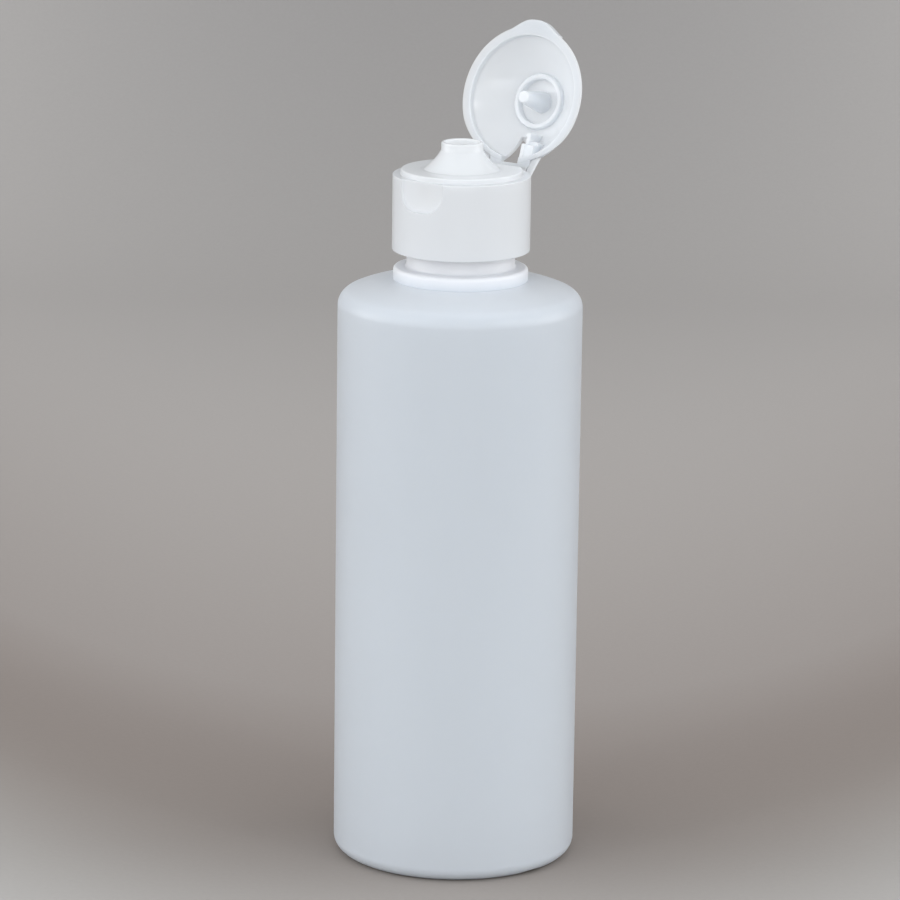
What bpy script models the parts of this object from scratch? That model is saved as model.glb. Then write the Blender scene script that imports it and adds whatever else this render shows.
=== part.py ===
"""Plastic refill bottle with a screw-on flip-top cap, shown with its lid open.

The object stands on Z = 0 with its axis on Z. The thumb tab of the lid faces -Y and the
living hinge faces +Y. The bottle is one blow-moulded shell. The cap is moulded in one
shot as a threaded base, a domed lid and the thin hinge webs and straps between them,
and a soft sealing ring lies under its deck. All lengths are in metres.
"""
import math

import bmesh
import bpy
from mathutils import Matrix, Vector

MM = 0.001

# Shared fits
SEAT_GAP = 0.2 * MM
RUNNING_GAP = 0.3 * MM
OVERRUN = 1.0 * MM
MERGE = 0.01 * MM
ROUND_STEPS = 48
ARC_STEPS = 3
SHARP_ANGLE = math.radians(35)

# Bottle body
BODY_RADIUS = 24.5 * MM
BODY_WALL = 1.0 * MM
BASE_WALL = 1.4 * MM
STRAIGHT_HEIGHT = 113.1 * MM
CHIME_RADIUS = 2.85 * MM
STANDING_RING_WIDTH = 1.45 * MM
PUSH_UP_HEIGHT = 3.0 * MM
PUSH_UP_POWER_SHARE = 0.7
PUSH_UP_STEPS = 5

# Shoulder and collar
SHOULDER_EDGE_RADIUS = 3.6 * MM
SHOULDER_SLOPE = math.radians(23.0)
SHOULDER_CROWN_RADIUS = 29.0 * MM
COLLAR_RADIUS = 13.47 * MM
COLLAR_HEIGHT = 2.6 * MM
COLLAR_EDGE = 0.7 * MM

# Neck finish
NECK_RADIUS = 10.85 * MM
NECK_BORE = 8.9 * MM
NECK_HEIGHT = 16.9 * MM
NECK_LIP_EDGE = 0.4 * MM
NECK_ROOT_FILLET = 2.6 * MM
THREAD_DEPTH = 1.0 * MM

# Arched notches where the parting line crosses the base
NOTCH_WIDTH = 8.0 * MM
NOTCH_DEPTH = 0.7 * MM
NOTCH_TURN = math.radians(-10.8)
NOTCH_STEPS = 64

# Sealing ring
LINER_THICKNESS = 0.6 * MM
LINER_BORE = 5.0 * MM
LINER_EDGE = 0.15 * MM

# Cap base
SKIRT_WALL = 1.62 * MM
SKIRT_HEIGHT = 14.95 * MM
SKIRT_EDGE = 0.35 * MM
DECK_THICKNESS = 1.73 * MM
LEDGE_WIDTH = 1.6 * MM
LEDGE_DROP = 1.27 * MM
PLATEAU_EDGE = 0.35 * MM

# Pouring spout
SPOUT_RADIUS = 4.16 * MM
SPOUT_BORE = 3.45 * MM
SPOUT_HEIGHT = 5.47 * MM
SPOUT_FLARE_HEIGHT = 3.9 * MM
SPOUT_FLARE_WIDTH = 3.4 * MM
SPOUT_FLARE_STRAIGHT_SHARE = 0.52
SPOUT_FLARE_STEPS = 6
ORIFICE_RADIUS = 1.55 * MM
ORIFICE_LENGTH = 1.9 * MM
FUNNEL_HEIGHT = 1.3 * MM

# Thumb recess in the front of the skirt
RECESS_HALF_WIDTH = 5.2 * MM
RECESS_HEIGHT = 5.85 * MM
RECESS_CORNER = 4.0 * MM
RECESS_EDGE = 0.7 * MM
RECESS_ARC_STEPS = 6

# Lid shell
RIM_OVERHANG = 0.59 * MM
RIM_BEAD = 0.32 * MM
RIM_BEAD_HEIGHT = 0.25 * MM
LIP_WIDTH = 1.86 * MM
LIP_DEPTH = 1.2 * MM
LID_HEIGHT = 9.0 * MM
CEILING_WALL = 1.1 * MM
DOME_STEPS = 8

# The rim draws in towards the hinge, between two angles from it
RIM_BACK_RADIUS = 13.57 * MM
RIM_BACK_ANGLE = math.radians(21)
RIM_ROUND_ANGLE = math.radians(71)

# Ring and pin that close the spout
RING_CLEARANCE = 0.44 * MM
RING_WALL = 1.0 * MM
RING_OVERLAP = 0.68 * MM
RING_EDGE = 0.25 * MM
PIN_ROOT_RADIUS = 2.0 * MM
PIN_TIP_RADIUS = 1.25 * MM
PIN_TIP_CHAMFER = 0.3 * MM
PIN_HOLE_RADIUS = 0.55 * MM
PIN_HOLE_DEPTH = 1.6 * MM
PIN_REACH = 0.65 * MM

# Thumb tab on the rim
TAB_REACH = 1.3 * MM
TAB_HALF_WIDTH = 6.2 * MM
TAB_THICKNESS = 1.8 * MM
TAB_LIFT = 0.08 * MM
TAB_EDGE = 0.6 * MM
TAB_FLAT_SHARE = 0.12
TAB_STEPS = 16

# Living hinge
LID_OPEN_ANGLE = math.radians(106.93)
HINGE_BEHIND = 14.8 * MM
HINGE_DROP = 0.813 * MM
WINDOW_HALF_WIDTH = 2.05 * MM
WINDOW_DEPTH = 4.9 * MM
HINGE_BLOCK_FRONT = 9.45 * MM
WEB_SPLIT = 0.3 * MM
WEB_WIDTH = 4.8 * MM
WEB_THICKNESS = 0.3 * MM
LUG_CLEARANCE = 0.15 * MM
LUG_DEPTH = 1.0 * MM
LUG_SHORT_OF_AXIS = 0.05 * MM
LUG_ROOT = 1.5 * MM
STRAP_GAP = 0.3 * MM
STRAP_WIDTH = 1.9 * MM
STRAP_THICKNESS = 0.7 * MM
STRAP_FOOT_DROP = 3.6 * MM
STRAP_HEAD_RISE = 0.6 * MM
STRAP_STEPS = 4

# Heights worked out from the sizes above
SHOULDER_CENTRE_R = BODY_RADIUS - SHOULDER_EDGE_RADIUS
SLOPE_NORMAL = math.pi / 2 - SHOULDER_SLOPE
CROWN_START = (
    SHOULDER_CENTRE_R + SHOULDER_EDGE_RADIUS * math.cos(SLOPE_NORMAL),
    STRAIGHT_HEIGHT + SHOULDER_EDGE_RADIUS * math.sin(SLOPE_NORMAL),
)
CROWN_CENTRE_R = CROWN_START[0] - SHOULDER_CROWN_RADIUS * math.cos(SLOPE_NORMAL)
CROWN_CENTRE_Z = CROWN_START[1] - SHOULDER_CROWN_RADIUS * math.sin(SLOPE_NORMAL)
COLLAR_ANGLE = math.acos((COLLAR_RADIUS - CROWN_CENTRE_R) / SHOULDER_CROWN_RADIUS)
COLLAR_BASE = CROWN_CENTRE_Z + SHOULDER_CROWN_RADIUS * math.sin(COLLAR_ANGLE)
COLLAR_TOP = COLLAR_BASE + COLLAR_HEIGHT
NECK_TOP = COLLAR_TOP + NECK_HEIGHT
LINER_BOTTOM = NECK_TOP + SEAT_GAP
LINER_TOP = LINER_BOTTOM + LINER_THICKNESS
DECK_UNDERSIDE = LINER_TOP + SEAT_GAP
PLATEAU_TOP = DECK_UNDERSIDE + DECK_THICKNESS
LEDGE_TOP = PLATEAU_TOP - LEDGE_DROP
SKIRT_BOTTOM = LEDGE_TOP - SKIRT_HEIGHT
SPOUT_TOP = PLATEAU_TOP + SPOUT_HEIGHT
CLOSED_RIM = LEDGE_TOP + RUNNING_GAP

# Radii worked out from the sizes above
SKIRT_BORE = NECK_RADIUS + THREAD_DEPTH + RUNNING_GAP
SKIRT_RADIUS = SKIRT_BORE + SKIRT_WALL
PLATEAU_RADIUS = SKIRT_RADIUS - LEDGE_WIDTH
RIM_RADIUS = SKIRT_RADIUS + RIM_OVERHANG
LIP_RADIUS = RIM_RADIUS - LIP_WIDTH
RING_INNER = SPOUT_RADIUS + RING_CLEARANCE
RING_OUTER = RING_INNER + RING_WALL
HINGE_HEIGHT = CLOSED_RIM - HINGE_DROP
HINGE_HALF_WIDTH = WEB_SPLIT / 2 + WEB_WIDTH


def clear_scene():
    """Removes every object that is already in the file."""
    for item in list(bpy.data.objects):
        bpy.data.objects.remove(item, do_unlink=True)


def new_collection(name):
    """Makes a collection under the scene's own."""
    group = bpy.data.collections.new(name)
    bpy.context.scene.collection.children.link(group)
    return group


def plastic(name, colour, roughness):
    """A moulded plastic with its base colour and roughness."""
    material = bpy.data.materials.new(name)
    material.use_nodes = True
    shader = material.node_tree.nodes["Principled BSDF"]
    shader.inputs["Base Color"].default_value = (*colour, 1.0)
    shader.inputs["Roughness"].default_value = roughness
    shader.inputs["Metallic"].default_value = 0.0
    return material


def link(mesh, name, group, material=None, parent=None, place=(0, 0, 0)):
    """Wraps a mesh in an object at a place under its parent."""
    item = bpy.data.objects.new(name, mesh)
    group.objects.link(item)
    item.location = place
    item.parent = parent
    if material is not None:
        mesh.materials.append(material)
    return item


def arc(centre_r, centre_z, radius, start, end, steps=ARC_STEPS):
    """Points of a round edge in the turned section, from one angle to another."""
    points = []
    for step in range(steps + 1):
        angle = start + (end - start) * step / steps
        points.append((centre_r + radius * math.cos(angle), centre_z + radius * math.sin(angle)))
    return points


def turned(name, points, closed, group, material=None, parent=None, place=(0, 0, 0)):
    """Turns a section of (radius, height) points round Z with a Screw modifier."""
    edges = [(index, index + 1) for index in range(len(points) - 1)]
    if closed:
        edges.append((len(points) - 1, 0))
    mesh = bpy.data.meshes.new(name)
    mesh.from_pydata([(radius, 0, height) for radius, height in points], edges, [])
    item = link(mesh, name, group, material, parent, place)
    screw = item.modifiers.new("turn", "SCREW")
    screw.axis = "Z"
    screw.angle = 2 * math.pi
    screw.steps = ROUND_STEPS
    screw.render_steps = ROUND_STEPS
    screw.use_merge_vertices = True
    screw.merge_threshold = MERGE
    screw.use_smooth_shade = True
    return item


def block(name, low, high, group, parent=None, place=(0, 0, 0)):
    """A box between two corners, made from a unit cube."""
    low = Vector(low)
    high = Vector(high)
    shape = bmesh.new()
    bmesh.ops.create_cube(shape, size=1)
    bmesh.ops.scale(shape, vec=high - low, verts=shape.verts)
    bmesh.ops.translate(shape, vec=(low + high) / 2, verts=shape.verts)
    mesh = bpy.data.meshes.new(name)
    shape.to_mesh(mesh)
    shape.free()
    return link(mesh, name, group, None, parent, place)


def plate(name, outline, thickness, group, parent=None, place=(0, 0, 0)):
    """A flat outline in X and Y, given some height along Z."""
    shape = bmesh.new()
    corners = [shape.verts.new((x, y, 0)) for x, y in outline]
    face = shape.faces.new(corners)
    raised = bmesh.ops.extrude_face_region(shape, geom=[face])
    moved = [item for item in raised["geom"] if isinstance(item, bmesh.types.BMVert)]
    bmesh.ops.translate(shape, vec=(0, 0, thickness), verts=moved)
    bmesh.ops.recalc_face_normals(shape, faces=shape.faces)
    mesh = bpy.data.meshes.new(name)
    shape.to_mesh(mesh)
    shape.free()
    return link(mesh, name, group, None, parent, place)


def combine(item, tool, operation):
    """Cuts a tool out of a piece, or joins it on, with an exact Boolean."""
    change = item.modifiers.new(tool.name, "BOOLEAN")
    change.operation = operation
    change.solver = "EXACT"
    change.object = tool
    tool.hide_render = True
    tool.display_type = "WIRE"


def soften(item, width, segments):
    """Rounds the sharp edges of a piece."""
    edge = item.modifiers.new("edge", "BEVEL")
    edge.width = width
    edge.segments = segments
    edge.limit_method = "ANGLE"


def dome_radius(base_radius, height):
    """Radius of the sphere whose cap has this base radius and height."""
    return (base_radius ** 2 + height ** 2) / (2 * height)


def dome_points(base_radius, height, from_radius, to_radius, steps=DOME_STEPS):
    """Points (radius, height over the rim) of a spherical cap between two radii."""
    sphere = dome_radius(base_radius, height)
    centre = height - sphere
    start = math.asin(from_radius / sphere)
    end = math.asin(to_radius / sphere)
    points = []
    for step in range(steps + 1):
        angle = start + (end - start) * step / steps
        points.append((sphere * math.sin(angle), centre + sphere * math.cos(angle)))
    return points


def push_up(radius, ring_radius):
    """Height of the hollow base over the standing ring at a radius."""
    return PUSH_UP_HEIGHT * (1 - (radius / ring_radius) ** 2) ** PUSH_UP_POWER_SHARE


def bottle_section():
    """Section of the blown shell: up the inside, over the lip and down the outside."""
    ring_outer = BODY_RADIUS - CHIME_RADIUS
    ring_inner = ring_outer - STANDING_RING_WIDTH
    rise = [math.sin(math.pi / 2 * step / PUSH_UP_STEPS) for step in range(PUSH_UP_STEPS + 1)]
    floor = [(ring_inner * share, push_up(ring_inner * share, ring_inner)) for share in rise]
    inner_radius = BODY_RADIUS - BODY_WALL
    inner_chime = CHIME_RADIUS - BODY_WALL
    inner_crown = SHOULDER_CROWN_RADIUS - BODY_WALL
    root_radius = NECK_BORE + NECK_ROOT_FILLET
    root_angle = math.acos((root_radius - CROWN_CENTRE_R) / inner_crown)
    root_height = CROWN_CENTRE_Z + inner_crown * math.sin(root_angle) + NECK_ROOT_FILLET
    quarter = math.pi / 2
    points = [(radius, height + BASE_WALL) for radius, height in floor]
    points += arc(inner_radius - inner_chime, BASE_WALL + inner_chime, inner_chime, -quarter, 0)
    points += arc(SHOULDER_CENTRE_R, STRAIGHT_HEIGHT, SHOULDER_EDGE_RADIUS - BODY_WALL, 0, SLOPE_NORMAL)
    points += arc(CROWN_CENTRE_R, CROWN_CENTRE_Z, inner_crown, SLOPE_NORMAL, root_angle)[1:]
    points += arc(root_radius, root_height, NECK_ROOT_FILLET, -quarter, -2 * quarter)[1:]
    points += [
        (NECK_BORE, NECK_TOP - NECK_LIP_EDGE),
        (NECK_BORE + NECK_LIP_EDGE, NECK_TOP),
        (NECK_RADIUS - NECK_LIP_EDGE, NECK_TOP),
        (NECK_RADIUS, NECK_TOP - NECK_LIP_EDGE),
        (NECK_RADIUS, COLLAR_TOP),
    ]
    points += arc(COLLAR_RADIUS - COLLAR_EDGE, COLLAR_TOP - COLLAR_EDGE, COLLAR_EDGE, quarter, 0)
    points += arc(CROWN_CENTRE_R, CROWN_CENTRE_Z, SHOULDER_CROWN_RADIUS, COLLAR_ANGLE, SLOPE_NORMAL)
    points += arc(SHOULDER_CENTRE_R, STRAIGHT_HEIGHT, SHOULDER_EDGE_RADIUS, SLOPE_NORMAL, 0)[1:]
    points += arc(ring_outer, CHIME_RADIUS, CHIME_RADIUS, 0, -quarter)
    points += list(reversed(floor))
    return points


def cap_section():
    """Section of the cap base: down the outside, up the bore and out through the orifice."""
    quarter = math.pi / 2
    lip_middle = (SPOUT_RADIUS + SPOUT_BORE) / 2
    lip_outer = SPOUT_RADIUS - lip_middle
    points = arc(lip_middle, SPOUT_TOP - lip_outer, lip_outer, quarter, 0)
    for step in range(SPOUT_FLARE_STEPS + 1):
        share = step / SPOUT_FLARE_STEPS
        width = SPOUT_FLARE_STRAIGHT_SHARE * share + (1 - SPOUT_FLARE_STRAIGHT_SHARE) * share ** 2
        height = PLATEAU_TOP + SPOUT_FLARE_HEIGHT * (1 - share)
        points.append((SPOUT_RADIUS + SPOUT_FLARE_WIDTH * width, height))
    points += arc(PLATEAU_RADIUS - PLATEAU_EDGE, PLATEAU_TOP - PLATEAU_EDGE, PLATEAU_EDGE, quarter, 0)
    points.append((PLATEAU_RADIUS, LEDGE_TOP))
    points += arc(SKIRT_RADIUS - SKIRT_EDGE, LEDGE_TOP - SKIRT_EDGE, SKIRT_EDGE, quarter, 0)
    points += arc(SKIRT_RADIUS - SKIRT_EDGE, SKIRT_BOTTOM + SKIRT_EDGE, SKIRT_EDGE, 0, -quarter)
    points += [
        (SKIRT_BORE + SKIRT_EDGE, SKIRT_BOTTOM),
        (SKIRT_BORE, SKIRT_BOTTOM + SKIRT_EDGE),
        (SKIRT_BORE, DECK_UNDERSIDE),
        (ORIFICE_RADIUS, DECK_UNDERSIDE),
        (ORIFICE_RADIUS, DECK_UNDERSIDE + ORIFICE_LENGTH),
        (SPOUT_BORE, DECK_UNDERSIDE + ORIFICE_LENGTH + FUNNEL_HEIGHT),
        (SPOUT_BORE, SPOUT_TOP - lip_outer),
    ]
    points += arc(lip_middle, SPOUT_TOP - lip_outer, lip_outer, 2 * quarter, quarter)[1:-1]
    return points


def ceiling_points(from_radius, to_radius, steps=DOME_STEPS):
    """Points of the lid's domed ceiling, which springs from the top of its lip."""
    rise = LID_HEIGHT - CEILING_WALL - LIP_DEPTH
    points = dome_points(LIP_RADIUS, rise, from_radius, to_radius, steps)
    return [(radius, LIP_DEPTH + height) for radius, height in points]


def lid_section():
    """Section of the lid, closed and measured from its rim plane, from the apex down."""
    base_radius = RIM_RADIUS - RIM_BEAD
    bead_radius = base_radius - RIM_BEAD_HEIGHT
    points = dome_points(base_radius, LID_HEIGHT, 0, bead_radius)
    points += [
        (RIM_RADIUS, RIM_BEAD_HEIGHT),
        (RIM_RADIUS, 0),
        (LIP_RADIUS, 0),
    ]
    points += ceiling_points(LIP_RADIUS, RING_OUTER)
    tip = SPOUT_TOP - RING_OVERLAP - CLOSED_RIM
    points += [
        (RING_OUTER, tip + RING_EDGE),
        (RING_OUTER - RING_EDGE, tip),
        (RING_INNER + RING_EDGE, tip),
        (RING_INNER, tip + RING_EDGE),
    ]
    points += ceiling_points(RING_INNER, PIN_ROOT_RADIUS, ARC_STEPS)
    points += [
        (PIN_TIP_RADIUS, PIN_REACH + PIN_TIP_CHAMFER),
        (PIN_TIP_RADIUS - PIN_TIP_CHAMFER, PIN_REACH),
        (PIN_HOLE_RADIUS, PIN_REACH),
        (PIN_HOLE_RADIUS, PIN_REACH + PIN_HOLE_DEPTH),
        (0, PIN_REACH + PIN_HOLE_DEPTH + PIN_HOLE_RADIUS),
    ]
    return points


def recess_outline():
    """U-shaped outline of the thumb recess, X across and Y up, open over its top."""
    top = RECESS_HEIGHT + OVERRUN
    centre = RECESS_HALF_WIDTH - RECESS_CORNER
    points = [(RECESS_HALF_WIDTH, top)]
    points.insert(0, (-RECESS_HALF_WIDTH, top))
    right = arc(centre, RECESS_CORNER, RECESS_CORNER, 0, -math.pi / 2, RECESS_ARC_STEPS)
    left = [(-x, y) for x, y in reversed(right)]
    return points + right + left


def tab_outline():
    """Outline of the thumb tab in X and Y: a flat-topped swell of the round rim."""
    spread = math.asin(TAB_HALF_WIDTH / RIM_RADIUS)
    outer = []
    for step in range(TAB_STEPS + 1):
        share = 2 * step / TAB_STEPS - 1
        fall = max(0, abs(share) - TAB_FLAT_SHARE) / (1 - TAB_FLAT_SHARE)
        swell = (1 + math.cos(math.pi * fall)) / 2
        radius = RIM_RADIUS + TAB_REACH * swell
        angle = spread * share
        outer.append((radius * math.sin(angle), -radius * math.cos(angle)))
    root = LIP_RADIUS + LIP_WIDTH / 4
    inner = []
    for step in range(TAB_STEPS + 1):
        angle = spread * (1 - 2 * step / TAB_STEPS)
        inner.append((root * math.sin(angle), -root * math.cos(angle)))
    return outer + inner


def rim_outline():
    """Outline of the lid in X and Y: round in front, and drawn in towards the hinge."""
    front = RIM_RADIUS + RIM_BEAD_HEIGHT
    points = []
    for step in range(2 * ROUND_STEPS):
        angle = math.pi * (step + 0.5) / ROUND_STEPS
        from_hinge = min(angle, 2 * math.pi - angle)
        share = (from_hinge - RIM_BACK_ANGLE) / (RIM_ROUND_ANGLE - RIM_BACK_ANGLE)
        share = min(1, max(0, share))
        radius = RIM_BACK_RADIUS + (front - RIM_BACK_RADIUS) * share * share * (3 - 2 * share)
        points.append((radius * math.sin(angle), radius * math.cos(angle)))
    return points


def block_section():
    """Section of the solid ring inside the lid that the hinge blocks are cut from."""
    inner = HINGE_BLOCK_FRONT - OVERRUN
    outer = LIP_RADIUS + LIP_WIDTH / 4
    wall = CEILING_WALL / 2
    top = [(radius, height + wall) for radius, height in ceiling_points(LIP_RADIUS, inner)]
    return [(inner, 0), *reversed(top), (outer, LIP_DEPTH), (outer, 0)]


def tooth_outline():
    """Outline of a lid tooth, Y across and Z up from the rim plane: it hangs clear of the skirt."""
    low = WEB_THICKNESS / 2 + LUG_CLEARANCE - HINGE_DROP
    top = low + LUG_DEPTH + LUG_ROOT / 2
    root = SKIRT_RADIUS - LUG_ROOT
    clear = SKIRT_RADIUS + SEAT_GAP
    back = HINGE_BEHIND - LUG_SHORT_OF_AXIS
    return [(clear, low), (back, low), (back, top), (root, top), (root, TAB_LIFT), (clear, TAB_LIFT)]


def make_bottle(group, tools, material):
    """The blown shell, with an arched notch at each end of its parting line."""
    bottle = turned("bottle", bottle_section(), False, group, material)
    radius = dome_radius(NOTCH_WIDTH / 2, NOTCH_DEPTH)
    shape = bmesh.new()
    bmesh.ops.create_cone(
        shape,
        cap_ends=True,
        segments=NOTCH_STEPS,
        radius1=radius,
        radius2=radius,
        depth=2 * (BODY_RADIUS + OVERRUN),
    )
    mesh = bpy.data.meshes.new("base_notch")
    shape.to_mesh(mesh)
    shape.free()
    notch = link(mesh, "base_notch", tools, place=(0, 0, NOTCH_DEPTH - radius))
    notch.rotation_euler = (0, math.pi / 2, NOTCH_TURN)
    combine(bottle, notch, "DIFFERENCE")
    return bottle


def make_liner(group, material):
    """The soft ring that seals the mouth of the neck."""
    outer = SKIRT_BORE - RUNNING_GAP
    points = [
        (LINER_BORE, LINER_TOP - LINER_EDGE),
        (LINER_BORE + LINER_EDGE, LINER_TOP),
        (outer - LINER_EDGE, LINER_TOP),
        (outer, LINER_TOP - LINER_EDGE),
        (outer, LINER_BOTTOM + LINER_EDGE),
        (outer - LINER_EDGE, LINER_BOTTOM),
        (LINER_BORE + LINER_EDGE, LINER_BOTTOM),
        (LINER_BORE, LINER_BOTTOM + LINER_EDGE),
    ]
    return turned("liner", points, True, group, material)


def hinge_side(side):
    """Inner and outer X of a hinge web and of a snap strap on one side."""
    web_start = WEB_SPLIT / 2
    web_end = web_start + WEB_WIDTH
    strap_start = web_end + STRAP_GAP
    strap_end = strap_start + STRAP_WIDTH
    webs = sorted((side * web_start, side * web_end))
    straps = sorted((side * strap_start, side * strap_end))
    return webs, straps


def make_cap_base(group, tools, material):
    """The threaded base with its spout, thumb recess, deck cut back for the lid, and lug."""
    base = turned("cap_base", cap_section(), True, group, material)
    depth = LEDGE_WIDTH + OVERRUN
    recess = plate("thumb_recess", recess_outline(), depth, tools)
    recess.rotation_euler = (math.pi / 2, 0, 0)
    recess.location = (0, -PLATEAU_RADIUS, LEDGE_TOP - RECESS_HEIGHT)
    soften(recess, RECESS_EDGE, 3)
    combine(base, recess, "DIFFERENCE")
    seat = block(
        "block_seat",
        (-PLATEAU_RADIUS, HINGE_BLOCK_FRONT - RUNNING_GAP, LEDGE_TOP),
        (PLATEAU_RADIUS, SKIRT_RADIUS, PLATEAU_TOP + OVERRUN),
        tools,
    )
    combine(base, seat, "DIFFERENCE")
    top = HINGE_HEIGHT - WEB_THICKNESS / 2 - LUG_CLEARANCE
    lug = block(
        "base_lug",
        (-HINGE_HALF_WIDTH, SKIRT_RADIUS - LUG_ROOT, top - LUG_DEPTH),
        (HINGE_HALF_WIDTH, HINGE_BEHIND - LUG_SHORT_OF_AXIS, top),
        tools,
    )
    combine(base, lug, "UNION")
    return base


def make_lid(group, tools, material, pivot):
    """The domed lid with its tab, seal ring, pin, hinge blocks, hinge tooth and window."""
    seat = (0, -HINGE_BEHIND, HINGE_DROP)
    lid = turned("lid", lid_section(), False, group, material, pivot, seat)
    under_rim = (0, -HINGE_BEHIND, HINGE_DROP - OVERRUN)
    outline = plate("lid_outline", rim_outline(), LID_HEIGHT + 2 * OVERRUN, tools, pivot, under_rim)
    combine(lid, outline, "INTERSECT")
    blocks = turned("hinge_blocks", block_section(), True, tools, None, pivot, seat)
    span = block(
        "hinge_block_span",
        (-RIM_RADIUS, HINGE_BLOCK_FRONT, -OVERRUN),
        (RIM_RADIUS, RIM_RADIUS, LID_HEIGHT),
        tools,
        pivot,
        seat,
    )
    combine(blocks, span, "INTERSECT")
    combine(lid, blocks, "UNION")
    over_rim = (0, -HINGE_BEHIND, HINGE_DROP + TAB_LIFT)
    tab = plate("thumb_tab", tab_outline(), TAB_THICKNESS, tools, pivot, over_rim)
    soften(tab, TAB_EDGE, 2)
    combine(lid, tab, "UNION")
    place = (-HINGE_HALF_WIDTH, -HINGE_BEHIND, HINGE_DROP)
    tooth = plate("lid_tooth", tooth_outline(), 2 * HINGE_HALF_WIDTH, tools, pivot, place)
    tooth.rotation_euler = (math.pi / 2, 0, math.pi / 2)
    combine(lid, tooth, "UNION")
    window = block(
        "hinge_window",
        (-WINDOW_HALF_WIDTH, RING_OUTER + OVERRUN, -OVERRUN),
        (WINDOW_HALF_WIDTH, RIM_BACK_RADIUS, WINDOW_DEPTH),
        tools,
        pivot,
        seat,
    )
    combine(lid, window, "DIFFERENCE")
    return lid


def make_web(word, side, group, material):
    """One half of the living hinge's thin web, on the hinge axis between lug and tooth."""
    webs, straps = hinge_side(side)
    half = WEB_THICKNESS / 2
    web = block(
        f"hinge_web_{word}",
        (webs[0] + half, -half, -half),
        (webs[1] - half, half, half),
        group,
        place=(0, HINGE_BEHIND, HINGE_HEIGHT),
    )
    web.data.materials.append(material)
    web.rotation_euler = (-LID_OPEN_ANGLE / 2, 0, 0)
    return web


def make_strap(word, side, group, material):
    """One snap strap, from the skirt to the back wall of the open lid, twisted to follow both."""
    webs, straps = hinge_side(side)
    around = math.asin(sum(straps) / 2 / SKIRT_RADIUS)
    off_wall = SEAT_GAP + STRAP_THICKNESS / 2
    skirt_r = SKIRT_RADIUS + off_wall
    rim_r = RIM_BACK_RADIUS + off_wall
    open_turn = Matrix.Rotation(-LID_OPEN_ANGLE, 3, "X")
    pivot = Vector((0, HINGE_BEHIND, HINGE_HEIGHT))
    foot = Vector((skirt_r * math.sin(around), skirt_r * math.cos(around), LEDGE_TOP - STRAP_FOOT_DROP))
    on_lid = Vector((rim_r * math.sin(around), rim_r * math.cos(around), CLOSED_RIM + STRAP_HEAD_RISE))
    head = pivot + open_turn @ (on_lid - pivot)
    foot_across = Vector((math.cos(around), -math.sin(around), 0))
    head_across = open_turn @ foot_across
    along = (head - foot).normalized()
    shape = bmesh.new()
    rings = []
    for step in range(STRAP_STEPS + 1):
        share = step / STRAP_STEPS
        across = foot_across.lerp(head_across, share).normalized()
        out = across.cross(along).normalized() * STRAP_THICKNESS / 2
        wide = across * STRAP_WIDTH / 2
        centre = foot.lerp(head, share) - foot
        corners = (centre - wide - out, centre + wide - out, centre + wide + out, centre - wide + out)
        rings.append([shape.verts.new(corner) for corner in corners])
    for low, high in zip(rings, rings[1:]):
        for index in range(4):
            after = (index + 1) % 4
            shape.faces.new((low[index], low[after], high[after], high[index]))
    shape.faces.new(list(reversed(rings[0])))
    shape.faces.new(rings[-1])
    bmesh.ops.recalc_face_normals(shape, faces=shape.faces)
    bmesh.ops.triangulate(shape, faces=shape.faces)
    mesh = bpy.data.meshes.new(f"snap_strap_{word}")
    shape.to_mesh(mesh)
    shape.free()
    return link(mesh, f"snap_strap_{word}", group, material, None, foot)


def finish(group):
    """Applies each piece's modifiers, then shades its round faces smooth."""
    bpy.context.view_layer.update()
    graph = bpy.context.evaluated_depsgraph_get()
    pieces = [item for item in group.objects if item.type == "MESH"]
    meshes = [bpy.data.meshes.new_from_object(item.evaluated_get(graph)) for item in pieces]
    for item, mesh in zip(pieces, meshes):
        item.modifiers.clear()
        mesh.name = item.name
        item.data = mesh
        mesh.shade_smooth()
        mesh.set_sharp_from_angle(angle=SHARP_ANGLE)


def build():
    """Makes every piece in its place, with the lid standing open."""
    clear_scene()
    group = new_collection("refill_bottle")
    tools = new_collection("cutters")
    body_plastic = plastic("bottle_plastic", (0.578, 0.624, 0.680), 0.38)
    base_plastic = plastic("cap_base_plastic", (0.735, 0.768, 0.791), 0.30)
    lid_plastic = plastic("lid_plastic", (0.690, 0.730, 0.768), 0.30)
    liner_foam = plastic("liner_foam", (0.800, 0.800, 0.780), 0.80)

    make_bottle(group, tools, body_plastic)
    make_liner(group, liner_foam)
    make_cap_base(group, tools, base_plastic)
    pivot = bpy.data.objects.new("lid_hinge_axis", None)
    group.objects.link(pivot)
    pivot.location = (0, HINGE_BEHIND, HINGE_HEIGHT)
    pivot.rotation_euler = (-LID_OPEN_ANGLE, 0, 0)
    make_lid(group, tools, lid_plastic, pivot)
    for side, word in ((-1, "left"), (1, "right")):
        web_plastic = plastic(f"hinge_web_{word}_plastic", (0.690, 0.730, 0.768), 0.35)
        strap_plastic = plastic(f"snap_strap_{word}_plastic", (0.690, 0.730, 0.768), 0.35)
        make_web(word, side, group, web_plastic)
        make_strap(word, side, group, strap_plastic)
    finish(group)


build()
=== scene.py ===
"""Looks for the plastic refill bottle: fine moulded surfaces, threads, materials, light and camera."""
import math

import bmesh
import bpy
import numpy as np
from mathutils import Matrix, Vector


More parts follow.
